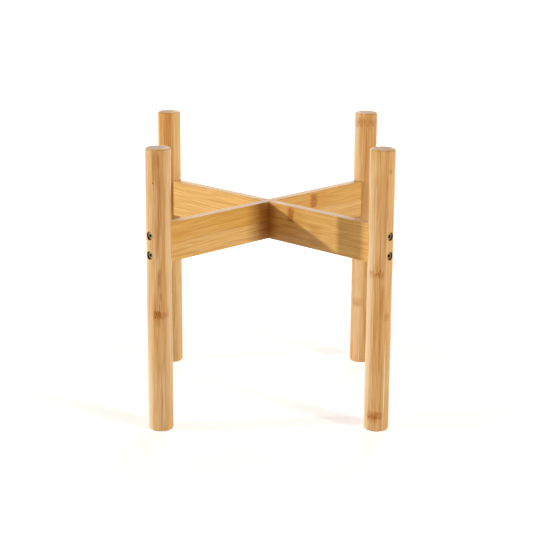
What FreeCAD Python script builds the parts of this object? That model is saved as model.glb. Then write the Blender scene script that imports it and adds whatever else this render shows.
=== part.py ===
import FreeCAD, Part
import os
import Sketcher

# Bamboo plant stand: four turned legs bolted to the ends of two rails that cross in a halved joint.
# Millimetres, +Z up, with the origin on the floor under the middle of the stand. The front is -Y.
# The legs stand at the corners of a square, and the rails run on edge along its diagonals.

doc = FreeCAD.newDocument("plant_stand")

# Driving dimensions
SIZES = {
    # Turned legs, with the distance between neighbouring leg axes
    "leg_diameter": 28,
    "leg_height": 322,
    "leg_edge_radius": 2.5,
    "leg_spacing": 243.5,
    # Rails, with the height of their lower edges above the floor
    "rail_height": 44,
    "rail_thickness": 12,
    "rail_edge_radius": 0.8,
    "rail_underside": 193,
    "lap_clearance": 0.15,
    # Flat-bottomed housings in the legs, which the rail ends seat in
    "housing_depth": 3,
    "housing_clearance": 0.1,
    # Socket bolts, two to a corner, with their heads sunk in the legs
    "bolt_diameter": 5,
    "bolt_spacing": 22,
    "bolt_clearance": 0.25,
    "head_diameter": 8.5,
    "head_height": 5,
    "head_chamfer": 0.5,
    "head_recess": 2,
    "socket_width": 4,
    "socket_depth": 2.5,
    "tip_chamfer": 0.6,
    "tip_gap": 1.5,
    # Threaded inserts, sunk in the rail ends
    "insert_diameter": 8,
    "insert_length": 13,
    "insert_chamfer": 0.8,
    "insert_sink": 0.5,
    "insert_clearance": 0.1,
    "insert_hole_spare": 2,
    "thread_clearance": 0.1,
    "driver_slot_width": 1.5,
    "driver_slot_depth": 1.5,
}

sheet = doc.addObject("Spreadsheet::Sheet", "Sizes")
for row, (alias, size) in enumerate(SIZES.items(), start=1):
    sheet.set(f"A{row}", alias.replace("_", " "))
    sheet.set(f"B{row}", str(size))
    sheet.setAlias(f"B{row}", alias)
doc.recompute()

# Places that the pieces share, worked out from the sheet
LEG_REACH = "Sizes.leg_spacing / sqrt(2)"
LEG_RADIUS = "Sizes.leg_diameter / 2"
HOUSING_FLOOR = f"({LEG_RADIUS} - Sizes.housing_depth)"
HEAD_SEAT = f"({LEG_RADIUS} - Sizes.head_recess - Sizes.head_height)"
RAIL_REACH = f"({LEG_REACH} - {HOUSING_FLOOR})"
RAIL_MIDDLE = "Sizes.rail_height / 2"
BOLT_HEIGHTS = {
    "upper": f"({RAIL_MIDDLE} + Sizes.bolt_spacing / 2)",
    "lower": f"({RAIL_MIDDLE} - Sizes.bolt_spacing / 2)",
}
# Which way each corner lies from the middle, in shares of half the leg spacing along X and Y
CORNER_SHARES = {
    "front_left": (-1, -1),
    "front_right": (1, -1),
    "back_left": (-1, 1),
    "back_right": (1, 1),
}


def new_body(label, corner, reach, height):
    """A body set out from the middle of the stand towards a corner, with its X axis pointing there."""
    body = doc.addObject("PartDesign::Body", label)
    body.Label = label
    along_x, along_y = CORNER_SHARES[corner]
    outwards = FreeCAD.Vector(along_x, along_y, 0)
    body.Placement = FreeCAD.Placement(FreeCAD.Vector(), FreeCAD.Rotation(FreeCAD.Vector(1, 0, 0), outwards))
    body.setExpression("Placement.Base.x", f"({reach}) * {along_x} / sqrt(2)")
    body.setExpression("Placement.Base.y", f"({reach}) * {along_y} / sqrt(2)")
    body.setExpression("Placement.Base.z", height)
    return body


def origin_plane(body, role):
    """One of the body's own origin planes."""
    return next(item for item in body.Origin.OriginFeatures if item.Role == role)


def new_sketch(body, name, role, offset="0"):
    """A sketch on an origin plane of its body, moved along the plane's normal."""
    sketch = body.newObject("Sketcher::SketchObject", name)
    sketch.AttachmentSupport = [(origin_plane(body, role), "")]
    sketch.MapMode = "FlatFace"
    sketch.setExpression("AttachmentOffset.Base.z", offset)
    return sketch


def add_size(sketch, name, kind, place, expression):
    """A named dimension of a sketch, tied to the sheet."""
    index = sketch.addConstraint(Sketcher.Constraint(kind, *place, 1))
    sketch.renameConstraint(index, name)
    sketch.setExpression(f"Constraints.{name}", expression)


def add_outline(sketch, corners):
    """A closed outline of straight sides, with each corner held at its own place."""
    first = sketch.GeometryCount
    last = first + len(corners) - 1
    starts = [FreeCAD.Vector(index, index % 2, 0) for index in range(len(corners))]
    for start, end in zip(starts, starts[1:] + starts[:1]):
        sketch.addGeometry(Part.LineSegment(start, end))
    for side in range(first, last + 1):
        following = side + 1 if side < last else first
        sketch.addConstraint(Sketcher.Constraint("Coincident", side, 2, following, 1))
    for side, (across, along) in enumerate(corners, start=first):
        add_size(sketch, f"corner_{side}_across", "DistanceX", (side, 1), across)
        add_size(sketch, f"corner_{side}_along", "DistanceY", (side, 1), along)


def add_circle(sketch, name, diameter, along="0"):
    """A circle centred on the sketch's vertical axis."""
    upright = FreeCAD.Vector(0, 0, 1)
    circle = sketch.addGeometry(Part.Circle(FreeCAD.Vector(), upright, 1))
    add_size(sketch, f"{name}_across", "DistanceX", (circle, 3), "0")
    add_size(sketch, f"{name}_along", "DistanceY", (circle, 3), along)
    add_size(sketch, f"{name}_diameter", "Diameter", (circle,), diameter)


def rectangle(width, low, high):
    """Corners of a rectangle that is centred on the sketch's vertical axis."""
    left, right = f"-({width}) / 2", f"({width}) / 2"
    return [(left, low), (right, low), (right, high), (left, high)]


def add_pad(body, name, sketch, length, side="One side"):
    """Material raised from a sketch."""
    pad = body.newObject("PartDesign::Pad", name)
    pad.Profile = sketch
    pad.SideType = side
    pad.setExpression("Length", length)
    return pad


def add_pocket(body, name, sketch, depth):
    """A blind cut from a sketch, against the sketch's normal."""
    pocket = body.newObject("PartDesign::Pocket", name)
    pocket.Profile = sketch
    pocket.setExpression("Length", depth)
    return pocket


def add_through_cut(body, name, sketch, side="One side"):
    """A cut from a sketch that runs out of the body."""
    pocket = body.newObject("PartDesign::Pocket", name)
    pocket.Profile = sketch
    pocket.Type = "ThroughAll"
    pocket.SideType = side
    return pocket


def add_fillet(body, name, feature, radius, belongs):
    """Rounding on those edges of a feature that a test picks."""
    doc.recompute()
    edges = enumerate(feature.Shape.Edges, start=1)
    fillet = body.newObject("PartDesign::Fillet", name)
    fillet.Base = (feature, [f"Edge{number}" for number, edge in edges if belongs(edge)])
    fillet.setExpression("Radius", radius)
    return fillet


def add_turning(body, name, corners):
    """A turned form: a half section, with X along the axis, spun once round."""
    sketch = new_sketch(body, f"{name}_section", "XY_Plane")
    add_outline(sketch, corners)
    turning = body.newObject("PartDesign::Revolution", name)
    turning.Profile = sketch
    turning.ReferenceAxis = (sketch, ["H_Axis"])
    return turning


def is_round(edge):
    """True on the circular rim of a turned piece."""
    return edge.Curve.TypeId == "Part::GeomCircle"


def is_lengthwise(edge):
    """True on an edge that runs along a rail."""
    return edge.BoundBox.XLength > max(edge.BoundBox.YLength, edge.BoundBox.ZLength)


def make_leg(corner):
    """A turned leg with a housing on its inner side and two counterbored bolt holes through it."""
    leg = new_body(f"leg_{corner}", corner, LEG_REACH, "0")
    section = new_sketch(leg, "leg_section", "XY_Plane")
    add_circle(section, "leg", "Sizes.leg_diameter")
    dowel = add_pad(leg, "dowel", section, "Sizes.leg_height")
    add_fillet(leg, "rounded_ends", dowel, "Sizes.leg_edge_radius", is_round)

    floor = new_sketch(leg, "housing_outline", "YZ_Plane", f"-{HOUSING_FLOOR}")
    width = "Sizes.rail_thickness + 2 * Sizes.housing_clearance"
    low = "Sizes.rail_underside - Sizes.housing_clearance"
    high = "Sizes.rail_underside + Sizes.rail_height + Sizes.housing_clearance"
    add_outline(floor, rectangle(width, low, high))
    add_through_cut(leg, "housing", floor)

    centres = new_sketch(leg, "bolt_hole_centres", "YZ_Plane", LEG_RADIUS)
    hole_diameter = "Sizes.bolt_diameter + 2 * Sizes.bolt_clearance"
    for name, height in BOLT_HEIGHTS.items():
        add_circle(centres, name, hole_diameter, f"Sizes.rail_underside + {height}")
    doc.recompute()
    holes = leg.newObject("PartDesign::Hole", "bolt_holes")
    holes.Profile = centres
    holes.DepthType = "ThroughAll"
    holes.HoleCutType = "Counterbore"
    holes.setExpression("Diameter", hole_diameter)
    holes.setExpression("HoleCutDiameter", "Sizes.head_diameter + 2 * Sizes.bolt_clearance")
    holes.setExpression("HoleCutDepth", "Sizes.head_recess + Sizes.head_height")
    return leg


def make_rail(label, corner, slot_low, slot_high):
    """A rail on edge, with a slot of half its height for the other rail and holes in its ends."""
    rail = new_body(label, corner, "0", "Sizes.rail_underside")
    section = new_sketch(rail, "rail_section", "YZ_Plane")
    add_outline(section, rectangle("Sizes.rail_thickness", "0", "Sizes.rail_height"))
    board = add_pad(rail, "board", section, f"2 * {RAIL_REACH}", "Symmetric")
    add_fillet(rail, "eased_edges", board, "Sizes.rail_edge_radius", is_lengthwise)

    slot = new_sketch(rail, "lap_outline", "XZ_Plane")
    width = "Sizes.rail_thickness + 2 * Sizes.lap_clearance"
    add_outline(slot, rectangle(width, slot_low, slot_high))
    add_through_cut(rail, "lap_slot", slot, "Symmetric")

    end = new_sketch(rail, "insert_hole_centres", "YZ_Plane", RAIL_REACH)
    for name, height in BOLT_HEIGHTS.items():
        add_circle(end, name, "Sizes.insert_diameter + 2 * Sizes.insert_clearance", height)
    depth = "Sizes.insert_sink + Sizes.insert_length + Sizes.insert_hole_spare"
    holes = add_pocket(rail, "insert_holes", end, depth)
    mirrored = rail.newObject("PartDesign::Mirrored", "far_insert_holes")
    mirrored.Originals = [holes]
    mirrored.MirrorPlane = (origin_plane(rail, "YZ_Plane"), [""])
    rail.Tip = mirrored
    return rail


def make_bolt(corner, level, height):
    """A socket bolt that seats in its counterbore and ends just short of its insert's inner end."""
    reach = f"{LEG_REACH} + {HEAD_SEAT}"
    bolt = new_body(f"bolt_{corner}_{level}", corner, reach, f"Sizes.rail_underside + {height}")
    shank, head = "Sizes.bolt_diameter / 2", "Sizes.head_diameter / 2"
    grip = f"{HEAD_SEAT} + {HOUSING_FLOOR} + Sizes.insert_sink"
    tip = f"-({grip} + Sizes.insert_length - Sizes.tip_gap)"
    add_turning(bolt, "blank", [
        (tip, "0"),
        (tip, f"{shank} - Sizes.tip_chamfer"),
        (f"{tip} + Sizes.tip_chamfer", shank),
        ("0", shank),
        ("0", head),
        ("Sizes.head_height - Sizes.head_chamfer", head),
        ("Sizes.head_height", f"{head} - Sizes.head_chamfer"),
        ("Sizes.head_height", "0"),
    ])
    hexagon = new_sketch(bolt, "socket_outline", "YZ_Plane", "Sizes.head_height")
    corner_reach = "Sizes.socket_width / sqrt(3)"
    corners = []
    for side in range(6):
        turn = f"{side} * 60 deg"
        corners.append((f"{corner_reach} * cos({turn})", f"{corner_reach} * sin({turn})"))
    add_outline(hexagon, corners)
    add_pocket(bolt, "socket", hexagon, "Sizes.socket_depth")
    return bolt


def make_insert(corner, level, height):
    """A threaded insert below the face of the rail's end, with a driver slot across its mouth."""
    reach = f"{RAIL_REACH} - Sizes.insert_sink"
    insert = new_body(f"insert_{corner}_{level}", corner, reach, f"Sizes.rail_underside + {height}")
    bore, outside = "Sizes.bolt_diameter / 2 + Sizes.thread_clearance", "Sizes.insert_diameter / 2"
    inner_end = "-Sizes.insert_length"
    add_turning(insert, "sleeve", [
        ("0", bore),
        ("0", outside),
        (f"{inner_end} + Sizes.insert_chamfer", outside),
        (inner_end, f"{outside} - Sizes.insert_chamfer"),
        (inner_end, bore),
    ])
    slot = new_sketch(insert, "driver_slot_outline", "YZ_Plane")
    add_outline(slot, rectangle("Sizes.driver_slot_width", f"-({outside})", outside))
    add_pocket(insert, "driver_slot", slot, "Sizes.driver_slot_depth")
    return insert


# Assembly: the rail from the front left to the back right runs over the other one
pieces = [
    make_rail("rail_slotted_below", "back_right", "0", RAIL_MIDDLE),
    make_rail("rail_slotted_above", "front_right", RAIL_MIDDLE, "Sizes.rail_height"),
]
for corner in CORNER_SHARES:
    pieces.append(make_leg(corner))
    for level, height in BOLT_HEIGHTS.items():
        pieces.append(make_bolt(corner, level, height))
        pieces.append(make_insert(corner, level, height))
doc.recompute()

# Every feature has to have built, and every cut has to have taken material away
CUTS = ("PartDesign::Pocket", "PartDesign::Hole", "PartDesign::Mirrored")
for item in doc.Objects:
    if {"Invalid", "Error"} & set(item.State):
        raise RuntimeError(f"{item.Label} did not build")
    if item.TypeId in CUTS and item.Shape.Volume >= item.BaseFeature.Shape.Volume:
        raise RuntimeError(f"{item.Label} cuts nothing")
for piece in pieces:
    if piece.Shape.isNull() or not piece.Shape.isValid() or len(piece.Shape.Solids) != 1:
        raise RuntimeError(f"{piece.Label} is not one sound solid")

os.makedirs("parts", exist_ok=True)
for piece in pieces:
    piece.Shape.exportStep(f"parts/{piece.Label}.step")
    print(piece.Label, round(piece.Shape.Volume), "mm3")
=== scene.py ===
import bmesh
import bpy
import math
from mathutils import Matrix, Quaternion, Vector


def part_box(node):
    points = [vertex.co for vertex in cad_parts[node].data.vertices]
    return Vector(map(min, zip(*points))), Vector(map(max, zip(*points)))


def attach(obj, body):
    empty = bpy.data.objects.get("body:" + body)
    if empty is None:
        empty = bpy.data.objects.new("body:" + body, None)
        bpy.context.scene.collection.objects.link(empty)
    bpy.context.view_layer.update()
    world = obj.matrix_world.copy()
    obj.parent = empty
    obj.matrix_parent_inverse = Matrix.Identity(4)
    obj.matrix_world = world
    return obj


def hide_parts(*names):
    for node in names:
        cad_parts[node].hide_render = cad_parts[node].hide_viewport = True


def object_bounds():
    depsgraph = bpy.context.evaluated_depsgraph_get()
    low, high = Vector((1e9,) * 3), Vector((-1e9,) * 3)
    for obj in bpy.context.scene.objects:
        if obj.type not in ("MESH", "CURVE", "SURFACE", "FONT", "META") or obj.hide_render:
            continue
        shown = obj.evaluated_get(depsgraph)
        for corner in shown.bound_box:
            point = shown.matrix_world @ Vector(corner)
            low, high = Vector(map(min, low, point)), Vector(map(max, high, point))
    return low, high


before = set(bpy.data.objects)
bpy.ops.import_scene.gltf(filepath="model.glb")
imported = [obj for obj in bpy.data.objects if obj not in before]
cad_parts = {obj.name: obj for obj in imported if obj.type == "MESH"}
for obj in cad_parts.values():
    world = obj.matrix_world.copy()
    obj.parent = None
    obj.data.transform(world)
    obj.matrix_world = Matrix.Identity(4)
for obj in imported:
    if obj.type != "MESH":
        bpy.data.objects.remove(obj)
cad_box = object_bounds()

# Cross rails
# Two planed boards of laminated bamboo, lacquered, that stand on edge along the diagonals.
# They are halved over each other in the middle, and their drilled ends seat in the legs.
rail_thickness = 0.012
rail_edge_radius = 0.0008
rail_arris = 0.00015
lap_clearance = 0.00015
insert_hole_diameter = 0.0082
insert_hole_depth = 0.0155
small_hole_sides = 48
# How far a cutter reaches past the face that it cuts
overrun = 0.002
rail_low, rail_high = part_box("rail_slotted_below")
rail_height = rail_high.z - rail_low.z
rail_middle = (rail_high.z + rail_low.z) / 2
rail_length = (rail_high.x - rail_low.x) * math.sqrt(2) - rail_thickness
bolt_levels = {}
for level in ("upper", "lower"):
    bolt_low, bolt_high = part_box(f"bolt_front_left_{level}")
    bolt_levels[level] = (bolt_low.z + bolt_high.z) / 2


def select_only(piece):
    """Makes a piece the one that the next operator acts on."""
    bpy.ops.object.select_all(action="DESELECT")
    piece.select_set(True)
    bpy.context.view_layer.objects.active = piece


def edit_with(piece, edges=None, faces=None):
    """Opens a piece in edit mode with only those edges or faces selected that a test picks."""
    select_only(piece)
    bpy.ops.object.mode_set(mode="EDIT")
    bpy.ops.mesh.select_mode(type="EDGE" if edges else "FACE")
    bpy.ops.mesh.select_all(action="DESELECT")
    form = bmesh.from_edit_mesh(piece.data)
    for edge in form.edges if edges else ():
        edge.select_set(edges(*(corner.co for corner in edge.verts)))
    for face in form.faces if faces else ():
        face.select_set(faces(face.calc_center_median(), face.normal))
    bmesh.update_edit_mesh(piece.data)


def leave_edit():
    """Closes edit mode and keeps what was done in it."""
    bpy.ops.object.mode_set(mode="OBJECT")


def add_block(name, size, middle):
    """A box at its size and place, ready to be shaped."""
    bpy.ops.object.select_all(action="DESELECT")
    bpy.ops.mesh.primitive_cube_add(size=1, location=middle, scale=size)
    block = bpy.context.object
    block.name = name
    bpy.ops.object.transform_apply()
    return block


def add_round(name, diameter, start, end, sides):
    """A round bar along X from start to end, ready to be shaped."""
    bpy.ops.object.select_all(action="DESELECT")
    bpy.ops.mesh.primitive_cylinder_add(
        vertices=sides, radius=diameter / 2, depth=abs(end.x - start.x),
        location=(start + end) / 2, rotation=(0, math.pi / 2, 0))
    bar = bpy.context.object
    bar.name = name
    bpy.ops.object.transform_apply()
    return bar


def apply_modifier(piece, kind, **settings):
    """Puts a modifier on a piece and applies it."""
    modifier = piece.modifiers.new(kind.lower(), kind)
    for setting, value in settings.items():
        setattr(modifier, setting, value)
    bpy.context.view_layer.objects.active = piece
    bpy.ops.object.modifier_apply(modifier=modifier.name)


def cut_out(piece, cutter):
    """Takes the form of a cutter out of a piece."""
    apply_modifier(piece, "BOOLEAN", operation="DIFFERENCE", solver="EXACT", object=cutter)
    bpy.data.objects.remove(cutter)


def smooth_up_to(piece, degrees):
    """Shades faces smooth where they meet at less than an angle."""
    select_only(piece)
    bpy.ops.object.shade_smooth_by_angle(angle=math.radians(degrees))


def ease_and_smooth(piece, arris):
    """Breaks the sharp edges that the tools leave and shades the round faces smooth."""
    sharp_degrees = 40
    round_degrees = 35
    apply_modifier(
        piece, "BEVEL", width=arris, segments=2, limit_method="ANGLE",
        angle_limit=math.radians(sharp_degrees))
    smooth_up_to(piece, round_degrees)
    apply_modifier(piece, "WEIGHTED_NORMAL", keep_sharp=True, weight=100)


def put_in_place(piece, place, bearing):
    """Turns a piece about Z, moves it, and leaves its place in its mesh."""
    piece.location = place
    piece.rotation_euler.z = bearing
    select_only(piece)
    bpy.ops.object.transform_apply()


def coat_with(piece, material):
    """Gives a piece one material in place of any other."""
    piece.data.materials.clear()
    piece.data.materials.append(material)


def make_rail(node, bearing, slot_edge):
    """A board with eased long edges, half a lap joint and two insert holes in each end."""
    rail = add_block(
        f"bamboo_{node}", (rail_length, rail_thickness, rail_height), (0, 0, rail_middle))
    edit_with(rail, edges=lambda start, end: abs(start.x - end.x) > rail_thickness)
    bpy.ops.mesh.bevel(offset=rail_edge_radius, segments=5, affect="EDGES")
    leave_edit()
    slot_width = rail_thickness + 2 * lap_clearance
    slot_height = rail_height / 2 + 2 * overrun
    slot_way = 1 if slot_edge > rail_middle else -1
    slot_place = (0, 0, rail_middle + slot_way * slot_height / 2)
    cut_out(rail, add_block("lap_slot", (slot_width, 2 * rail_thickness, slot_height), slot_place))
    for side in (-1, 1):
        for height in bolt_levels.values():
            mouth = Vector((side * (rail_length / 2 + overrun), 0, height))
            floor = Vector((side * (rail_length / 2 - insert_hole_depth), 0, height))
            cut_out(rail, add_round("insert_hole", insert_hole_diameter, mouth, floor, small_hole_sides))
    ease_and_smooth(rail, rail_arris)
    put_in_place(rail, (0, 0, 0), bearing)
    return rail


def feed(tree, socket, value):
    """Links a socket to what feeds it, or sets its value."""
    if isinstance(value, bpy.types.NodeSocket):
        tree.links.new(value, socket)
    else:
        socket.default_value = value


def add_node(tree, kind, *values, **settings):
    """A shader node with its settings and its first inputs."""
    node = tree.nodes.new(f"ShaderNode{kind}")
    for setting, value in settings.items():
        setattr(node, setting, value)
    for socket, value in zip(node.inputs, values):
        feed(tree, socket, value)
    return node


def calc(tree, operation, *values):
    """The result of one sum."""
    return add_node(tree, "Math", *values, operation=operation).outputs[0]


def ramp(tree, value, start, end):
    """A soft step from 0 at start to 1 at end."""
    step = add_node(tree, "MapRange", value, start, end, interpolation_type="SMOOTHSTEP")
    return step.outputs[0]


def inverse(tree, value):
    """1 where a value is 0 and 0 where it is 1."""
    return calc(tree, "SUBTRACT", 1, value)


def stretched(tree, parts, scales, shift):
    """Coordinates scaled each way by itself and shifted, so that each strip has grain of its own."""
    scaled = [calc(tree, "MULTIPLY_ADD", part, scale, shift) for part, scale in zip(parts, scales)]
    return add_node(tree, "CombineXYZ", *scaled).outputs[0]


def cloud(tree, vector, detail):
    """Soft noise from 0 to 1."""
    noise = add_node(tree, "TexNoise", vector)
    noise.inputs["Scale"].default_value = 1
    noise.inputs["Detail"].default_value = detail
    return noise.outputs["Fac"]


def draw_lots(tree, *names):
    """Three chance values from 0 to 1 for a strip or a dash, told by the numbers that name it."""
    name = add_node(tree, "CombineXYZ", *names).outputs[0]
    chance = add_node(tree, "TexWhiteNoise", name, noise_dimensions="3D").outputs
    return add_node(tree, "SeparateColor", chance["Color"]).outputs


def mix_colours(tree, share, first, second):
    """First where share is 0 and second where it is 1."""
    mix = tree.nodes.new("ShaderNodeMix")
    mix.data_type = "RGBA"
    # A mix node has sockets for each kind of data, and these are those of colours
    factor_socket, first_socket, second_socket, result_socket = 0, 6, 7, 2
    feed(tree, mix.inputs[factor_socket], share)
    feed(tree, mix.inputs[first_socket], first)
    feed(tree, mix.inputs[second_socket], second)
    return mix.outputs[result_socket]


def new_group(name, inputs, outputs):
    """An empty node group with its named sockets."""
    group = bpy.data.node_groups.new(name, "ShaderNodeTree")
    for label, kind in inputs.items():
        group.interface.new_socket(label, in_out="INPUT", socket_type=f"NodeSocket{kind}")
    for label, kind in outputs.items():
        group.interface.new_socket(label, in_out="OUTPUT", socket_type=f"NodeSocket{kind}")
    given = group.nodes.new("NodeGroupInput").outputs
    result = group.nodes.new("NodeGroupOutput").inputs
    return group, given, result


def colour(red, green, blue):
    """A colour given as it looks on a screen, in steps of 255."""
    def linear(step):
        share = step / 255
        return share / 12.92 if share <= 0.04045 else ((share + 0.055) / 1.055) ** 2.4
    return linear(red), linear(green), linear(blue), 1


def make_strip_group():
    """Glued bamboo strips: X runs along the grain, Y over the strips' width and Z through the layers."""
    tree, given, result = new_group(
        "bamboo strips",
        {"Vector": "Vector", "Strip Width": "Float", "Layer Depth": "Float", "Stagger": "Float",
         "Seed": "Float", "Half Length": "Float", "Figure": "Float", "Lines": "Float",
         "Gloss": "Float", "Honey": "Color", "Pale": "Color", "Streak": "Color",
         "Glue Line": "Color", "End Grain": "Color"},
        {"Color": "Color", "Roughness": "Float", "Coat": "Float", "Height": "Float", "Face": "Float"})
    place = add_node(tree, "SeparateXYZ", given["Vector"]).outputs

    # The strip and the layer that a point lies in, and the lots that the strip has drawn
    largest_shift = 60
    layers = calc(tree, "DIVIDE", place[2], given["Layer Depth"])
    layer = calc(tree, "FLOOR", layers)
    strips = calc(tree, "DIVIDE", place[1], given["Strip Width"])
    strips = calc(tree, "ADD", strips, calc(tree, "MULTIPLY", layer, given["Stagger"]))
    lots = draw_lots(tree, layer, calc(tree, "FLOOR", strips), given["Seed"])
    own_shift = calc(tree, "MULTIPLY", lots[0], largest_shift)

    # Glue lines between the strips and the layers, which show in places
    glue_core, glue_edge = 0.0002, 0.0006
    patch_scales = (11, 40, 40)
    seams = []
    for count, pitch in ((strips, given["Strip Width"]), (layers, given["Layer Depth"])):
        to_seam = calc(tree, "PINGPONG", count, 0.5)
        seams.append(calc(tree, "MULTIPLY", to_seam, pitch))
    glue = inverse(tree, ramp(tree, calc(tree, "MINIMUM", *seams), glue_core, glue_edge))
    patches = cloud(tree, stretched(tree, place, patch_scales, given["Seed"]), 1)
    glue = calc(tree, "MULTIPLY", glue, ramp(tree, patches, 0.45, 0.6))

    # Broad figure, fine lines and fibre bundles, which sway a little along the grain
    sway = 0.006
    sway_scales = (9, 25, 25)
    figure_scales = (9, 190, 190)
    line_scales = (26, 1050, 1050)
    bundles_per_metre = 1100
    drift = cloud(tree, stretched(tree, place, sway_scales, given["Seed"]), 1)
    wave = calc(tree, "MULTIPLY", calc(tree, "SUBTRACT", drift, 0.5), sway)
    width = calc(tree, "ADD", place[1], wave)
    grain_place = (place[0], width, place[2])
    broad = ramp(tree, cloud(tree, stretched(tree, grain_place, figure_scales, own_shift), 3), 0.38, 0.7)
    lines = ramp(tree, cloud(tree, stretched(tree, grain_place, line_scales, own_shift), 2), 0.38, 0.64)
    bundle_place = add_node(tree, "CombineXYZ", width, place[2], 0).outputs[0]
    bundles = add_node(tree, "TexVoronoi", bundle_place, voronoi_dimensions="2D")
    bundles.inputs["Scale"].default_value = bundles_per_metre
    pores = inverse(tree, ramp(tree, bundles.outputs["Distance"], 0.15, 0.45))

    # The colour of the long faces
    pore_share = 0.1
    glue_share = 0.6
    wood = mix_colours(tree, lots[1], given["Honey"], given["Pale"])
    dark = calc(tree, "MULTIPLY", broad, given["Figure"])
    dark = calc(tree, "MULTIPLY_ADD", lines, given["Lines"], dark)
    dark = calc(tree, "MULTIPLY_ADD", pores, pore_share, dark)
    wood = mix_colours(tree, dark, wood, given["Streak"])
    glued = calc(tree, "MULTIPLY", glue, glue_share)
    wood = mix_colours(tree, glued, wood, given["Glue Line"])

    # The colour of the sawn ends, which fades out towards a leg's rounded rim
    end_skin, end_edge = 0.00003, 0.0003
    rim_start, rim_full = 0.0085, 0.0115
    rim_loss = 0.9
    end_pore_share = 0.6
    end_pale_share = 0.4
    to_end = calc(tree, "SUBTRACT", given["Half Length"], calc(tree, "ABSOLUTE", place[0]))
    end = inverse(tree, ramp(tree, to_end, end_skin, end_edge))
    squares = calc(tree, "MULTIPLY_ADD", place[1], place[1], calc(tree, "MULTIPLY", place[2], place[2]))
    rim = ramp(tree, calc(tree, "SQRT", squares), rim_start, rim_full)
    end = calc(tree, "MULTIPLY", end, calc(tree, "MULTIPLY_ADD", rim, -rim_loss, 1))
    pale = calc(tree, "MULTIPLY", lots[1], end_pale_share)
    sawn = mix_colours(tree, pale, given["End Grain"], given["Pale"])
    between_pores = calc(tree, "MULTIPLY_ADD", pores, -end_pore_share, 1)
    sawn = mix_colours(tree, between_pores, given["Streak"], sawn)
    sawn = mix_colours(tree, glued, sawn, given["Streak"])
    feed(tree, result["Face"], inverse(tree, end))
    feed(tree, result["Color"], mix_colours(tree, end, wood, sawn))

    # The sheen and the relief
    least_roughness, grain_roughness = 0.45, 0.12
    end_gloss = 0.33
    grain_relief = 0.3
    glue_relief = 0.5
    feed(tree, result["Roughness"], calc(tree, "MULTIPLY_ADD", dark, grain_roughness, least_roughness))
    end_change = calc(tree, "SUBTRACT", end_gloss, given["Gloss"])
    feed(tree, result["Coat"], calc(tree, "MULTIPLY_ADD", end, end_change, given["Gloss"]))
    relief = calc(tree, "MULTIPLY_ADD", dark, -grain_relief, 1)
    feed(tree, result["Height"], calc(tree, "MULTIPLY_ADD", glue, -glue_relief, relief))
    return tree


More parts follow.
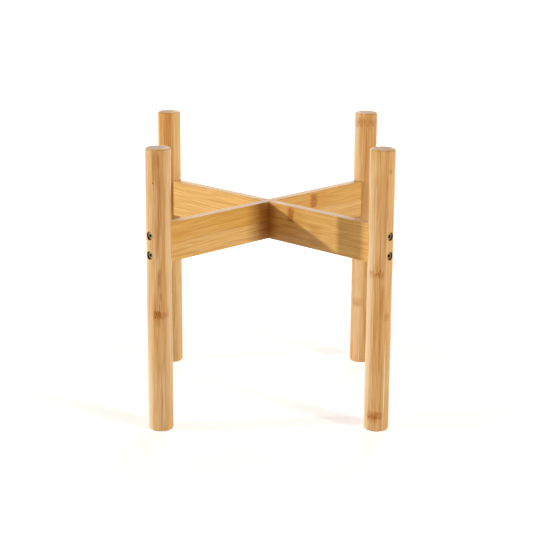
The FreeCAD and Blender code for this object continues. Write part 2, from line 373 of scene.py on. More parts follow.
def make_knuckle_group():
    """The mark of a cane's knuckle: two rows of short dashes along the grain, and a stain."""
    tree, given, result = new_group(
        "bamboo knuckle",
        {"Vector": "Vector", "Half Width": "Float", "Half Length": "Float", "Seed": "Float"},
        {"Dashes": "Float", "Stain": "Float"})
    along, across, out = add_node(tree, "SeparateXYZ", given["Vector"]).outputs

    # A field on one side of the wood, ragged at its sides, bowed and wavy
    field_scales = (60, 170, 1)
    raggedness = 0.6
    waviness = 0.003
    bow = 0.0012
    share = calc(tree, "DIVIDE", calc(tree, "ABSOLUTE", across), given["Half Width"])
    uneven = cloud(tree, stretched(tree, (along, across, 0), field_scales, given["Seed"]), 2)
    inner_share = calc(tree, "SUBTRACT", share, raggedness / 2)
    ragged_share = calc(tree, "MULTIPLY_ADD", uneven, raggedness, inner_share)
    within = inverse(tree, ramp(tree, ragged_share, 0.5, 1))
    within = calc(tree, "MULTIPLY", within, calc(tree, "GREATER_THAN", out, 0))
    wave = calc(tree, "MULTIPLY", calc(tree, "SUBTRACT", uneven, 0.5), waviness)
    rise = calc(tree, "MULTIPLY_ADD", calc(tree, "MULTIPLY", share, share), bow, wave)
    level = calc(tree, "DIVIDE", calc(tree, "ADD", along, rise), given["Half Length"])

    # Two rows of dashes, each dash with its own place, length and strength
    dash_pitch = 0.0016
    dash_sway = 2
    least_reach, more_reach = 0.3, 0.6
    marks = 0
    for row, row_level in enumerate((-0.5, 0.5)):
        count = calc(tree, "MULTIPLY_ADD", uneven, dash_sway, calc(tree, "DIVIDE", across, dash_pitch))
        count = calc(tree, "ADD", count, row / 2)
        lots = draw_lots(tree, calc(tree, "FLOOR", count), row, given["Seed"])
        aside = calc(tree, "PINGPONG", calc(tree, "ADD", count, 0.5), 0.5)
        dash = inverse(tree, ramp(tree, aside, 0.1, 0.5))
        from_row = calc(tree, "SUBTRACT", calc(tree, "SUBTRACT", level, row_level - 0.5), lots[0])
        reach = calc(tree, "MULTIPLY_ADD", lots[1], more_reach, least_reach)
        near = inverse(tree, ramp(tree, calc(tree, "ABSOLUTE", from_row), 0.1, reach))
        dash = calc(tree, "MULTIPLY", dash, near)
        dash = calc(tree, "MULTIPLY", dash, ramp(tree, lots[2], 0.1, 0.7))
        marks = calc(tree, "MAXIMUM", marks, dash)

    # A faint line along each rim of the knuckle
    for rim, strength in ((-0.9, 0.15), (0.9, 0.105)):
        to_rim = calc(tree, "ABSOLUTE", calc(tree, "SUBTRACT", level, rim))
        line = inverse(tree, ramp(tree, to_rim, 0.05, 0.45))
        line = calc(tree, "MULTIPLY", line, ramp(tree, uneven, 0.3, 0.65))
        marks = calc(tree, "MAXIMUM", marks, calc(tree, "MULTIPLY", line, strength))
    feed(tree, result["Dashes"], calc(tree, "MULTIPLY", marks, within))

    # A stain over the knuckle, with streaks that run on from it along the grain
    streak_scales = (30, 420, 1)
    band = inverse(tree, ramp(tree, calc(tree, "ABSOLUTE", level), 0.2, 1.3))
    streak_place = stretched(tree, (along, across, 0), streak_scales, given["Seed"])
    streaks = ramp(tree, cloud(tree, streak_place, 2), 0.4, 0.7)
    run = inverse(tree, ramp(tree, level, 1, 6))
    run = calc(tree, "MULTIPLY", run, ramp(tree, level, -2.5, -0.5))
    stain = calc(tree, "MAXIMUM", calc(tree, "MULTIPLY", streaks, run), band)
    feed(tree, result["Stain"], calc(tree, "MULTIPLY", stain, within))
    return tree


def make_streak_group():
    """One soft streak along the grain, on one side of the wood, that frays at its ends and sides."""
    tree, given, result = new_group(
        "bamboo streak",
        {"Vector": "Vector", "Half Width": "Float", "Half Length": "Float", "Seed": "Float"},
        {"Streak": "Float"})
    along, across, out = add_node(tree, "SeparateXYZ", given["Vector"]).outputs
    fray_scales = (16, 380, 1)
    fraying = 0.8
    uneven = cloud(tree, stretched(tree, (along, across, 0), fray_scales, given["Seed"]), 2)
    mask = calc(tree, "GREATER_THAN", out, 0)
    for way, half, full in ((across, "Half Width", 0.35), (along, "Half Length", 0.3)):
        share = calc(tree, "DIVIDE", calc(tree, "ABSOLUTE", way), given[half])
        frayed = calc(tree, "MULTIPLY_ADD", uneven, -fraying, calc(tree, "ADD", share, fraying / 2))
        mask = calc(tree, "MULTIPLY", mask, inverse(tree, ramp(tree, frayed, full, 1)))
    feed(tree, result["Streak"], mask)
    return tree


def make_bore_group():
    """The darker wall of a drilled hole, where Z runs out along the hole."""
    tree, given, result = new_group(
        "drilled hole", {"Vector": "Vector", "Radius": "Float"}, {"Wall": "Float"})
    # The darker tone covers the wall and fades out just past it
    darkening_core, darkening_edge = 0.0001, 0.0004
    first, second, out = add_node(tree, "SeparateXYZ", given["Vector"]).outputs
    squares = calc(tree, "MULTIPLY_ADD", first, first, calc(tree, "MULTIPLY", second, second))
    past = calc(tree, "SUBTRACT", calc(tree, "SQRT", squares), given["Radius"])
    wall = inverse(tree, ramp(tree, past, darkening_core, darkening_edge))
    feed(tree, result["Wall"], calc(tree, "MULTIPLY", wall, calc(tree, "GREATER_THAN", out, 0)))
    return tree


strip_group = make_strip_group()
knuckle_group = make_knuckle_group()
streak_group = make_streak_group()
bore_group = make_bore_group()


def wood_place(tree, middle, along, out):
    """Object coordinates from a place in the wood: X along the grain, Y across it, Z out of the face."""
    turn = Matrix((along, out.cross(along), out))
    mapping = add_node(tree, "Mapping", add_node(tree, "TexCoord").outputs["Object"])
    mapping.inputs["Location"].default_value = -(turn @ middle)
    mapping.inputs["Rotation"].default_value = turn.to_euler()
    return mapping.outputs[0]


def add_group(tree, group, **values):
    """A node group placed in a material with its own values."""
    node = tree.nodes.new("ShaderNodeGroup")
    node.node_tree = group
    for label, value in values.items():
        feed(tree, node.inputs[label.replace("_", " ")], value)
    return node.outputs


def make_bamboo(name, middle, along, out, strips, streaks, knuckles, bores):
    """Lacquered bamboo of glued strips, with the marks that its strips show, painted shade and sheen
    among its streaks, and its bores' darker walls.
    """
    dark_streak_and_shade, pale_streak_and_sheen = colour(174, 98, 24), colour(242, 218, 174)
    knuckle_stain, knuckle_dash = colour(182, 102, 22), colour(140, 78, 28)
    stain_share = 0.7
    # A darker tone for the walls of the bores
    darker_bore_wall = colour(150, 96, 46)
    material = bpy.data.materials.new(name)
    material.use_nodes = True
    tree = material.node_tree
    wood = add_group(tree, strip_group, Vector=wood_place(tree, middle, along, out), **strips)
    tone = wood["Color"]
    # Streaks, which also carry painted shade in the crossing's corners and painted sheen on the legs'
    # sides
    for seed, (place, face, half_width, half_length, strength) in enumerate(streaks, start=1):
        mark = add_group(
            tree, streak_group, Vector=wood_place(tree, place, along, face),
            Half_Width=half_width, Half_Length=half_length, Seed=seed + strips["Seed"])
        shown = calc(tree, "MULTIPLY", wood["Face"], abs(strength))
        share = calc(tree, "MULTIPLY", mark["Streak"], shown)
        tone = mix_colours(tree, share, tone, dark_streak_and_shade if strength > 0 else pale_streak_and_sheen)
    for seed, (place, face, half_width, half_length, strength) in enumerate(knuckles, start=1):
        mark = add_group(
            tree, knuckle_group, Vector=wood_place(tree, place, along, face),
            Half_Width=half_width, Half_Length=half_length, Seed=seed + strips["Seed"])
        shown = calc(tree, "MULTIPLY", wood["Face"], strength)
        stain = calc(tree, "MULTIPLY", mark["Stain"], calc(tree, "MULTIPLY", shown, stain_share))
        tone = mix_colours(tree, stain, tone, knuckle_stain)
        dashes = calc(tree, "MULTIPLY", mark["Dashes"], shown)
        tone = mix_colours(tree, dashes, tone, knuckle_dash)
    for place, face, radius in bores:
        hole = add_group(tree, bore_group, Vector=wood_place(tree, place, along, face), Radius=radius)
        tone = mix_colours(tree, hole["Wall"], tone, darker_bore_wall)
    lacquer = tree.nodes["Principled BSDF"]
    lacquer.inputs["Specular IOR Level"].default_value = 0.1
    lacquer.inputs["Coat Roughness"].default_value = 0.2
    lacquer.inputs["Coat IOR"].default_value = 1.3
    feed(tree, lacquer.inputs["Base Color"], tone)
    feed(tree, lacquer.inputs["Roughness"], wood["Roughness"])
    feed(tree, lacquer.inputs["Coat Weight"], wood["Coat"])
    bump = add_node(tree, "Bump")
    bump.inputs["Strength"].default_value = 0.25
    bump.inputs["Distance"].default_value = 0.0001
    feed(tree, bump.inputs["Height"], wood["Height"])
    feed(tree, lacquer.inputs["Normal"], bump.outputs[0])
    return material


# The half length lies past the ends of the rails, so that no end grain shows where the legs hide them
rail_strips = {
    "Strip_Width": 0.024, "Layer_Depth": 0.007, "Stagger": 0.0, "Half_Length": rail_length,
    "Figure": 0.18, "Lines": 0.45, "Gloss": 0.7,
    "Streak": colour(196, 134, 56), "Glue_Line": colour(176, 118, 58)}
# Bearing, edge that the slot opens at, seed and board colours of each rail, and its knuckle marks by
# reach, height, side, half width, half length and strength
rails = {
    "rail_slotted_below": (
        math.radians(45), rail_low.z, 12.0,
        {"Honey": colour(226, 176, 92), "Pale": colour(234, 194, 124)},
        [(0.072, 0.011, -1, 0.011, 0.006, 1.0), (-0.098, -0.011, 1, 0.012, 0.005, 0.8)]),
    "rail_slotted_above": (
        math.radians(-45), rail_high.z, 8.0,
        {"Honey": colour(236, 187, 100), "Pale": colour(243, 203, 130)},
        [(0.0415, 0.012, -1, 0.011, 0.005, 0.9), (0.08, -0.004, -1, 0.015, 0.009, 0.2),
         (-0.071, 0.011, 1, 0.012, 0.005, 0.8)])}
# Half width, half length and strength of the painted shade in the inner corners of the crossing
painted_corner_shade = (0.028, 0.025, 0.68)
rail_mark_strength = 0.6
rail_stain_spread = 1.3
for node, (bearing, slot_edge, seed, board, marks) in rails.items():
    rail = make_rail(node, bearing, slot_edge)
    along = Vector((math.cos(bearing), math.sin(bearing), 0))
    out = Vector((-math.sin(bearing), math.cos(bearing), 0))
    middle = Vector((0, 0, rail_middle))
    knuckles = []
    # Painted shade on both faces towards the crossing's inner corners, then the knuckles' stains
    stains_and_corner_shade = [(middle, out * side, *painted_corner_shade) for side in (-1, 1)]
    for reach, height, side, half_width, half_length, strength in marks:
        place = middle + along * reach + Vector((0, 0, height))
        face = out * side
        shown = rail_mark_strength * strength
        knuckles.append((place, face, half_width, half_length, shown))
        stains_and_corner_shade.append((place, face, half_width, rail_stain_spread * half_length, shown))
    strips = rail_strips | board | {"Seed": seed}
    coat_with(rail, make_bamboo(f"{node} bamboo", middle, along, out, strips, stains_and_corner_shade, knuckles, []))
    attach(rail, "root")
    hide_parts(node)

# Legs
# Turned dowels of laminated bamboo, with rounded ends and a coat of lacquer.
# Each has a flat-bottomed housing for a rail end and two counterbored holes for its bolts.
leg_sides = 128
leg_end_radius = 0.0025
leg_arris = 0.0002
housing_depth = 0.003
housing_clearance = 0.0001
bolt_hole_diameter = 0.0055
counterbore_diameter = 0.009
counterbore_depth = 0.007
counterbore_sides = 64
leg_low, leg_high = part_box("leg_front_left")
leg_radius = (leg_high.x - leg_low.x) / 2
leg_height = leg_high.z - leg_low.z
corners = {"front_left": -135, "front_right": -45, "back_left": 135, "back_right": 45}


def make_leg():
    """A leg about the Z axis, with its bolt heads towards +X and its housing towards -X."""
    bpy.ops.object.select_all(action="DESELECT")
    bpy.ops.mesh.primitive_cylinder_add(
        vertices=leg_sides, radius=leg_radius, depth=leg_height, location=(0, 0, leg_height / 2))
    leg = bpy.context.object
    bpy.ops.object.transform_apply()
    edit_with(leg, edges=lambda start, end: abs(start.z - end.z) < leg_end_radius)
    bpy.ops.mesh.bevel(offset=leg_end_radius, segments=10, affect="EDGES")
    # Rings above and below the cuts keep long thin faces away from them
    ring_offset = 0.7 * counterbore_diameter
    for height in (*bolt_levels.values(), rail_low.z, rail_high.z):
        for side in (-1, 1):
            bpy.ops.mesh.select_all(action="SELECT")
            bpy.ops.mesh.bisect(plane_co=(0, 0, height + side * ring_offset), plane_no=(0, 0, 1))
    leave_edit()
    reach = 2 * leg_radius
    size = (reach, rail_thickness + 2 * housing_clearance, rail_height + 2 * housing_clearance)
    housing_floor = leg_radius - housing_depth
    cut_out(leg, add_block("housing", size, (-housing_floor - reach / 2, 0, rail_middle)))
    for height in bolt_levels.values():
        inside = Vector((-reach, 0, height))
        outside = Vector((reach, 0, height))
        seat = Vector((leg_radius - counterbore_depth, 0, height))
        cut_out(leg, add_round("bolt_hole", bolt_hole_diameter, inside, outside, small_hole_sides))
        cut_out(leg, add_round("counterbore", counterbore_diameter, seat, outside, counterbore_sides))
    ease_and_smooth(leg, leg_arris)
    return leg


def copy_piece(pattern, name):
    """A copy of a piece with a mesh of its own."""
    piece = pattern.copy()
    piece.data = pattern.data.copy()
    piece.name = name
    bpy.context.collection.objects.link(piece)
    return piece


def facing(degrees):
    """A level direction by its bearing."""
    bearing = math.radians(degrees)
    return Vector((math.cos(bearing), math.sin(bearing), 0))


leg_strips = {
    "Strip_Width": 0.0135, "Layer_Depth": 0.0072, "Stagger": 0.4, "Half_Length": leg_height / 2,
    "Figure": 0.38, "Lines": 0.52, "Gloss": 0.6,
    "Honey": colour(222, 176, 112), "Pale": colour(234, 196, 140), "Streak": colour(200, 142, 70),
    "Glue_Line": colour(240, 214, 176), "End_Grain": colour(157, 119, 84)}
# Knuckle marks by height, bearing round the leg from the front, half width, half length and strength
leg_knuckles = {
    "front_left": [
        (0.138, -4, 0.0066, 0.0042, 1.0), (0.137, 35, 0.004, 0.003, 0.5),
        (0.236, 150, 0.006, 0.0035, 0.8)],
    "front_right": [
        (0.184, -44, 0.005, 0.0038, 0.55), (0.184, -4, 0.0055, 0.0042, 0.75),
        (0.135, 38, 0.0045, 0.0035, 0.45), (0.0205, -16, 0.0105, 0.004, 0.7),
        (0.2985, 37, 0.0032, 0.0026, 0.35), (0.262, 165, 0.006, 0.0035, 0.8)],
    "back_left": [
        (0.289, -160, 0.0065, 0.0035, 0.8), (0.095, 120, 0.006, 0.0035, 0.8)],
    "back_right": [
        (0.3115, -2, 0.0165, 0.0048, 0.5), (0.118, 150, 0.0065, 0.0035, 0.8)]}
# Soft streaks in the same terms, pale where the strength is below zero, with painted sheen among the pale
# ones
leg_streaks_and_sheen = {
    "front_left": [
        # Pale strips: on the left partly paler wood, partly painted sheen; on the right a painted
        # reflection
        (0.03, -58, 0.0075, 0.12, -0.75), (0.26, -60, 0.007, 0.14, -0.25),
        (0.16, 55, 0.007, 0.25, -0.45),
        # The dark middle of the knuckle and the runs above and below it
        (0.138, -1, 0.0022, 0.0042, 0.8),
        (0.154, 12, 0.0013, 0.012, 0.35), (0.152, -8, 0.001, 0.01, 0.35),
        (0.13, -2, 0.003, 0.008, 0.35), (0.158, 8, 0.002, 0.007, 0.4),
        (0.138, -5, 0.0055, 0.0045, 0.35),
        # Darker grain under the top
        (0.302, -7, 0.005, 0.028, 0.3),
        (0.31, -18, 0.0024, 0.013, 0.3), (0.309, 5, 0.002, 0.012, 0.4),
        # Darker grain between the top and the knuckle
        (0.25, 8, 0.003, 0.052, 0.4), (0.22, -4, 0.003, 0.03, 0.35),
        (0.178, 3, 0.0018, 0.013, 0.5), (0.174, 4, 0.0045, 0.026, 0.35),
        # A thin pale line near the foot
        (0.04, 20, 0.0008, 0.045, -0.7),
        # A speck near the top, laid twice to be dark
        (0.285, -21, 0.001, 0.0012, 1.0), (0.285, -21, 0.001, 0.0012, 1.0)],
    "front_right": [
        # A pale strip on the left, partly paler wood and partly painted sheen, and a darker one in front
        (0.12, -60, 0.0065, 0.22, -0.65), (0.1, 0, 0.003, 0.06, 0.1),
        (0.26, 2, 0.006, 0.06, 0.15),
        # The dark patches of the knuckle at the foot and the runs below them
        (0.0174, -40, 0.0032, 0.0014, 0.7), (0.0167, -12, 0.0034, 0.0016, 0.8),
        (0.0165, -22, 0.0095, 0.0065, 0.35), (0.0125, -30, 0.001, 0.006, 0.35),
        (0.0125, -13, 0.001, 0.0055, 0.35),
        # The runs above and below the knuckles half way up
        (0.21, -6, 0.0007, 0.03, 0.6), (0.155, 6, 0.0035, 0.026, 0.35),
        # A thin pale line near the foot and the dark middle of the knuckle near the top
        (0.055, 29, 0.001, 0.065, -0.9), (0.298, 36, 0.0016, 0.003, 0.4)],
    "back_left": [
        # Darker on the left and in front, and paler on the right
        (0.27, -58, 0.009, 0.14, 0.36), (0.27, -6, 0.0075, 0.13, 0.54),
        (0.1, 45, 0.008, 0.15, -0.35), (0.27, 45, 0.007, 0.12, -0.35)],
    "back_right": [
        # Left strips paler, partly in tone and partly by painted sheen; darker ones in front and on the
        # right
        (0.27, -58, 0.007, 0.12, -0.6), (0.24, 4, 0.004, 0.06, 0.2),
        (0.1, -30, 0.009, 0.13, -0.4), (0.27, 38, 0.006, 0.1, 0.18),
        # Dark patches low on the leg
        (0.0805, -34, 0.011, 0.008, 0.25), (0.0785, -38, 0.007, 0.004, 0.2),
        (0.066, 24, 0.002, 0.004, 0.6)]}
# Seed, offset and turn of each leg's strips, and the colours of a leg that is lighter than the rest
leg_layouts = {
    "front_left": (4.0, 0.0015, 0, {}),
    "front_right": (11.0, 0.0002, 4, {}),
    "back_left": (23.0, 0.003, -6, {"Honey": colour(240, 191, 107), "Pale": colour(248, 207, 130)}),
    "back_right": (31.0, -0.002, 10, {})}
# The bearing of the front, from which the marks and strips are turned
front_bearing = -90
upright = Vector((0, 0, 1))
pattern_leg = make_leg()
for corner, bearing in corners.items():
    low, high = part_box(f"leg_{corner}")
    foot = Vector(((low.x + high.x) / 2, (low.y + high.y) / 2, low.z))
    leg = copy_piece(pattern_leg, f"bamboo_leg_{corner}")
    put_in_place(leg, foot, math.radians(bearing))

    seed, offset, turn, board = leg_layouts[corner]
    out = facing(front_bearing + turn)
    middle = foot + upright * leg_height / 2 + out.cross(upright) * offset
    marks = {}
    for kind, table in (("knuckles", leg_knuckles), ("streaks", leg_streaks_and_sheen)):
        marks[kind] = []
        for height, from_front, half_width, half_length, strength in table[corner]:
            face = facing(front_bearing + from_front)
            marks[kind].append((foot + upright * height, face, half_width, half_length, strength))
    marks["bores"] = []
    for height in bolt_levels.values():
        hole_place = foot + upright * (height - foot.z)
        marks["bores"].append((hole_place, facing(bearing), counterbore_diameter / 2))
    strips = leg_strips | board | {"Seed": seed}
    coat_with(leg, make_bamboo(f"leg {corner} bamboo", middle, upright, out, strips, **marks))
    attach(leg, "root")
    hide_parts(f"leg_{corner}")
bpy.data.objects.remove(pattern_leg)

# Threaded inserts
# Brass sleeves with a coarse thread outside, turned into the ends of the rails by their driver slots.
# They lie just below the face of the rail's end, and a bolt screws into each.
insert_core = 0.0066
insert_crest = 0.008
insert_bore = 0.0052
insert_pitch = 0.0024
insert_length = 0.013
insert_sink = 0.0005
insert_sides = 48
driver_slot_width = 0.0015
driver_slot_depth = 0.0015
metal_round_degrees = 30
# A face whose normal has at least this share along X is an end of a fastener
end_facing = 0.9


def wind_thread(core, root, crest, pitch, start, turns):
    """Winds a pointed ridge round a core along X, and joins the two."""
    sunk_share = 0.2
    width_share = 0.46
    steps_to_a_turn = 32
    # The height of a triangle with even sides in a circle of radius 1
    triangle_height = 1.5
    bpy.ops.object.select_all(action="DESELECT")
    bpy.ops.mesh.primitive_circle_add(vertices=3, radius=1, fill_type="NOTHING")
    ridge = bpy.context.object
    height = crest / 2 - root / 2 + sunk_share * (crest - root)
    ridge.scale = (width_share * pitch, height / triangle_height, 1)
    ridge.location = (start, crest / 2 - height / triangle_height, 0)
    bpy.ops.object.transform_apply()
    apply_modifier(
        ridge, "SCREW", axis="X", screw_offset=-pitch, iterations=turns,
        steps=steps_to_a_turn, render_steps=steps_to_a_turn)
    edit_with(ridge, edges=lambda start, end: True)
    bpy.ops.mesh.fill_holes(sides=3)
    bpy.ops.mesh.normals_make_consistent(inside=False)
    leave_edit()
    apply_modifier(core, "BOOLEAN", operation="UNION", solver="EXACT", object=ridge)
    bpy.data.objects.remove(ridge)


def make_insert():
    """An insert along X, with its mouth at the origin."""
    tail = Vector((-insert_length, 0, 0))
    sleeve = add_round("insert_pattern", insert_core, Vector(), tail, insert_sides)
    edit_with(sleeve, faces=lambda middle, normal: abs(normal.x) > end_facing)
    bpy.ops.mesh.inset(thickness=(insert_core - insert_bore) / 2, use_individual=True)
    bpy.ops.mesh.bridge_edge_loops()
    leave_edit()
    turns = math.floor((insert_length - 2 * insert_pitch) / insert_pitch)
    wind_thread(sleeve, insert_core, insert_crest, insert_pitch, -insert_pitch, turns)
    slot_size = (2 * driver_slot_depth, 2 * insert_crest, driver_slot_width)
    cut_out(sleeve, add_block("driver_slot", slot_size, (0, 0, 0)))
    smooth_up_to(sleeve, metal_round_degrees)
    return sleeve


def make_metal_group():
    """Drawn and plated metal: a little cloudiness, fine turning marks round the X axis, and painted shade
    in recesses.
    """
    tree, given, result = new_group(
        "worked metal",
        {"Vector": "Vector", "Bright": "Color", "Dull": "Color", "Roughness": "Float",
         "Recess": "Float"},
        {"Color": "Color", "Roughness": "Float", "Height": "Float"})
    haze_scales = (700, 700, 700)
    ring_scales = (9000, 300, 300)
    # Painted shade for the walls and the floor of a socket
    painted_socket_shade = colour(104, 106, 80)
    haze_roughness = 0.12
    recess_roughness = 0.3
    ring_roughness = 0.08
    place = add_node(tree, "SeparateXYZ", given["Vector"]).outputs
    haze = ramp(tree, cloud(tree, stretched(tree, place, haze_scales, 0), 3), 0.3, 0.7)
    rings = cloud(tree, stretched(tree, place, ring_scales, 0), 1)
    plate = mix_colours(tree, haze, given["Bright"], given["Dull"])
    feed(tree, result["Color"], mix_colours(tree, given["Recess"], plate, painted_socket_shade))
    rough = calc(tree, "MULTIPLY_ADD", haze, haze_roughness, given["Roughness"])
    rough = calc(tree, "MULTIPLY_ADD", given["Recess"], recess_roughness, rough)
    feed(tree, result["Roughness"], calc(tree, "MULTIPLY_ADD", rings, ring_roughness, rough))
    feed(tree, result["Height"], rings)
    return tree


metal_group = make_metal_group()


def make_metal(name, bright, dull, roughness):
    """A plated or bare metal finish."""
    material = bpy.data.materials.new(name)
    material.use_nodes = True
    tree = material.node_tree
    place = add_node(tree, "TexCoord").outputs["Object"]
    recess = add_node(tree, "Attribute", attribute_name="recess").outputs["Fac"]
    worked = add_group(
        tree, metal_group, Vector=place, Bright=bright, Dull=dull, Roughness=roughness, Recess=recess)
    metal = tree.nodes["Principled BSDF"]
    metal.inputs["Metallic"].default_value = 1
    feed(tree, metal.inputs["Base Color"], worked["Color"])
    feed(tree, metal.inputs["Roughness"], worked["Roughness"])
    bump = add_node(tree, "Bump")
    bump.inputs["Strength"].default_value = 0.15
    bump.inputs["Distance"].default_value = 0.00005
    feed(tree, bump.inputs["Height"], worked["Height"])
    feed(tree, metal.inputs["Normal"], bump.outputs[0])
    return material


def set_in_corners(pattern, prefix, reach, material):
    """Copies a fastener into both levels of all four corners, along the diagonals."""
    coat_with(pattern, material)
    for corner, bearing in corners.items():
        for level, height in bolt_levels.items():
            piece = copy_piece(pattern, f"{material.name}_{prefix}_{corner}_{level}")
            put_in_place(piece, facing(bearing) * reach + upright * height, math.radians(bearing))
            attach(piece, "root")
            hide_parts(f"{prefix}_{corner}_{level}")
    bpy.data.objects.remove(pattern)


brass = make_metal("brass", colour(212, 172, 92), colour(176, 136, 64), roughness=0.3)
set_in_corners(make_insert(), "insert", rail_length / 2 - insert_sink, brass)

# Socket bolts
# Zinc-plated steel bolts, two to a corner, whose heads sit in the counterbores of the legs.
# They pass through the legs into the inserts, and a hexagon key tightens them.
head_diameter = 0.0085
head_height = 0.005
head_chamfer = 0.0005
head_sides = 64
shank_diameter = 0.005
thread_root = 0.0041
thread_pitch = 0.0008
plain_length = 0.0135
tip_chamfer = 0.0006
socket_width = 0.004
socket_depth = 0.0025
socket_sides = 6
bolt_low, bolt_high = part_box("bolt_front_left_upper")
bolt_span = (bolt_high.x - bolt_low.x) * math.sqrt(2) - (head_diameter + shank_diameter) / 2
bolt_length = round(bolt_span - head_height, 3)


def make_bolt():
    """A bolt along X, with the underside of its head at the origin."""
    bolt = add_round("bolt_pattern", head_diameter, Vector(), Vector((head_height, 0, 0)), head_sides)
    edit_with(bolt, faces=lambda middle, normal: normal.x < -end_facing)
    bpy.ops.mesh.inset(thickness=(head_diameter - shank_diameter) / 2)
    bpy.ops.mesh.extrude_region_move(TRANSFORM_OT_translate={"value": (-plain_length, 0, 0)})
    bpy.ops.mesh.inset(thickness=(shank_diameter - thread_root) / 2)
    threaded = bolt_length - plain_length
    bpy.ops.mesh.extrude_region_move(TRANSFORM_OT_translate={"value": (-threaded, 0, 0)})
    leave_edit()
    edit_with(bolt, edges=lambda start, end: min(start.x, end.x) > head_height - head_chamfer / 2)
    bpy.ops.mesh.bevel(offset=head_chamfer, segments=4, affect="EDGES")
    leave_edit()
    edit_with(bolt, edges=lambda start, end: max(start.x, end.x) < tip_chamfer / 2 - bolt_length)
    bpy.ops.mesh.bevel(offset=tip_chamfer, segments=1, affect="EDGES")
    leave_edit()
    turns = math.floor((threaded - 2 * tip_chamfer) / thread_pitch) - 1
    wind_thread(bolt, thread_root, shank_diameter, thread_pitch, -plain_length - thread_pitch, turns)
    floor = Vector((head_height - socket_depth, 0, 0))
    mouth = Vector((head_height + overrun, 0, 0))
    over_corners = socket_width * 2 / math.sqrt(3)
    cut_out(bolt, add_round("socket", over_corners, floor, mouth, socket_sides))

    # Marks the walls and the floor of the socket, where the material paints shade
    slack = overrun / 10
    socket_reach = 0.55 * socket_width
    recess = bolt.data.attributes.new("recess", "FLOAT", "FACE")
    for face, mark in zip(bolt.data.polygons, recess.data):
        near_axis = math.hypot(face.center.y, face.center.z) < socket_reach
        inside = near_axis and floor.x - slack < face.center.x < head_height - slack
        mark.value = 1.0 if inside else 0.0
    smooth_up_to(bolt, metal_round_degrees)
    return bolt


zinc = make_metal("zinc", colour(168, 161, 128), colour(128, 121, 90), roughness=0.3)
head_seat = leg_radius - counterbore_depth
leg_reach = math.hypot((leg_low.x + leg_high.x) / 2, (leg_low.y + leg_high.y) / 2)
set_in_corners(make_bolt(), "bolt", leg_reach + head_seat, zinc)

# Floor
# A pale sweep of studio paper that the stand rests on, wide enough to fill the view.
# It keeps the soft shadow under the legs and runs out to white.
floor_width = 30
floor_gap = 0.0002
floor_glow = 0.62
shadow_reach, white_reach = 0.25, 0.7
white = colour(255, 255, 255)


def seen_rays(tree):
    """1 for rays that show the backdrop, directly or mirrored, and 0 for those that light the stand."""
    path = add_node(tree, "LightPath").outputs
    seen = calc(tree, "MAXIMUM", path["Is Camera Ray"], path["Is Glossy Ray"])
    return calc(tree, "MAXIMUM", seen, path["Is Transmission Ray"])


bpy.ops.object.select_all(action="DESELECT")
bpy.ops.mesh.primitive_plane_add(size=floor_width, location=(0, 0, cad_box[0][2] - floor_gap))
floor = bpy.context.object
floor.name = "studio_floor"
bpy.ops.object.transform_apply()
paper = bpy.data.materials.new("studio paper")
paper.use_nodes = True
tree = paper.node_tree
tree.nodes.remove(tree.nodes["Principled BSDF"])
matt = add_node(tree, "BsdfDiffuse", colour(226, 222, 216))
floor_place = add_node(tree, "TexCoord").outputs["Object"]
away = add_node(tree, "VectorMath", floor_place, operation="LENGTH").outputs["Value"]
fade = ramp(tree, away, shadow_reach, white_reach)
lift = calc(tree, "MULTIPLY_ADD", fade, 1 - floor_glow, floor_glow)
glow = add_node(tree, "Emission", white, calc(tree, "MULTIPLY", seen_rays(tree), lift))
both = add_node(tree, "AddShader", matt.outputs[0], glow.outputs[0])
feed(tree, tree.nodes["Material Output"].inputs["Surface"], both.outputs[0])
coat_with(floor, paper)

# Studio light
# A small key lamp low on the left, a softer one on the front right and a broad one high at the back.
# Lit walls on the front left and behind give the lacquer its sheen, and warm surroundings fill the shade.
surround_level = 0.11
surround_tint = colour(255, 192, 122)
lamp_target = Vector((0, 0, 0.2))
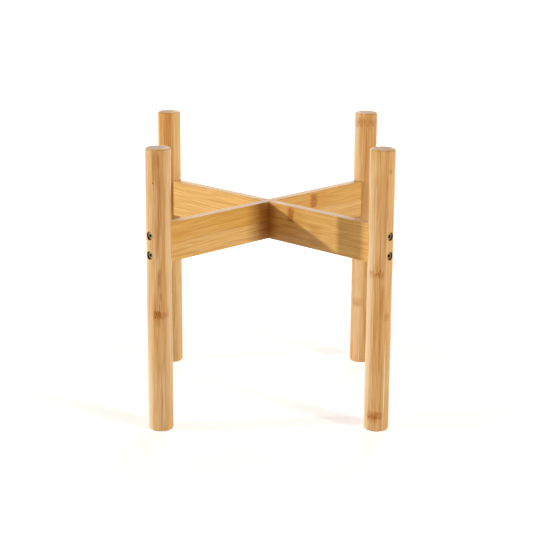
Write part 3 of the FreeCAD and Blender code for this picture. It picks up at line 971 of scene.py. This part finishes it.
# Place, size and level of each lamp, and whether the lacquer mirrors it
lamps = {
    "key_lamp": (Vector((-4.579, -0.63, 1.323)), 0.13, 0.56, False),
    "fill_lamp": (Vector((2.315, -1.908, 1.0)), 0.42, 0.61, False),
    "left_wall": (Vector((-3.1, -1.3, 0.7)), 1.5, 0.26, True),
    "back_wall": (Vector((0, 2.3, 0.9)), 2.2, 0.16, True),
    "top_lamp": (Vector((0.5, 2.0, 2.2)), 1.2, 0.35, False)}
for name, (place, size, lamp_level, mirrored) in lamps.items():
    lamp = bpy.data.lights.new(name, "AREA")
    lamp.size = size
    way = lamp_target - place
    # A white sheet at the target that faces the lamp looks as bright as the lamp's level
    lamp.energy = lamp_level * math.pi ** 2 * way.length_squared
    holder = bpy.data.objects.new(name, lamp)
    holder.location = place
    holder.rotation_euler = way.to_track_quat("-Z", "Y").to_euler()
    holder.visible_glossy = mirrored
    bpy.context.collection.objects.link(holder)

world = bpy.data.worlds.new("white surroundings")
bpy.context.scene.world = world
world.use_nodes = True
tree = world.node_tree
seen = seen_rays(tree)
background = tree.nodes["Background"]
feed(tree, background.inputs["Color"], mix_colours(tree, seen, surround_tint, white))
feed(tree, background.inputs["Strength"], calc(tree, "MAXIMUM", seen, surround_level))

# Camera
# A long lens in front of the stand and a little above it, at the photograph's height and tilt.
# A slight heading and roll set the stand in the frame as the photograph does.
camera_place = Vector((-0.02424, -1.71769, 0.61909))
camera_heading = math.radians(0.881)
camera_dip = math.radians(15.203)
camera_roll = math.radians(0.382)
camera = bpy.data.cameras.new("camera")
camera.lens = 100
camera.sensor_width = 36
camera_holder = bpy.data.objects.new("camera", camera)
camera_holder.location = camera_place
level_run = math.cos(camera_dip)
view_way = Vector((
    math.sin(camera_heading) * level_run, math.cos(camera_heading) * level_run, -math.sin(camera_dip)))
aim = view_way.to_track_quat("-Z", "Y") @ Quaternion((0, 0, 1), camera_roll)
camera_holder.rotation_euler = aim.to_euler()
bpy.context.collection.objects.link(camera_holder)
bpy.context.scene.camera = camera_holder
bpy.context.scene.view_settings.view_transform = "Standard"
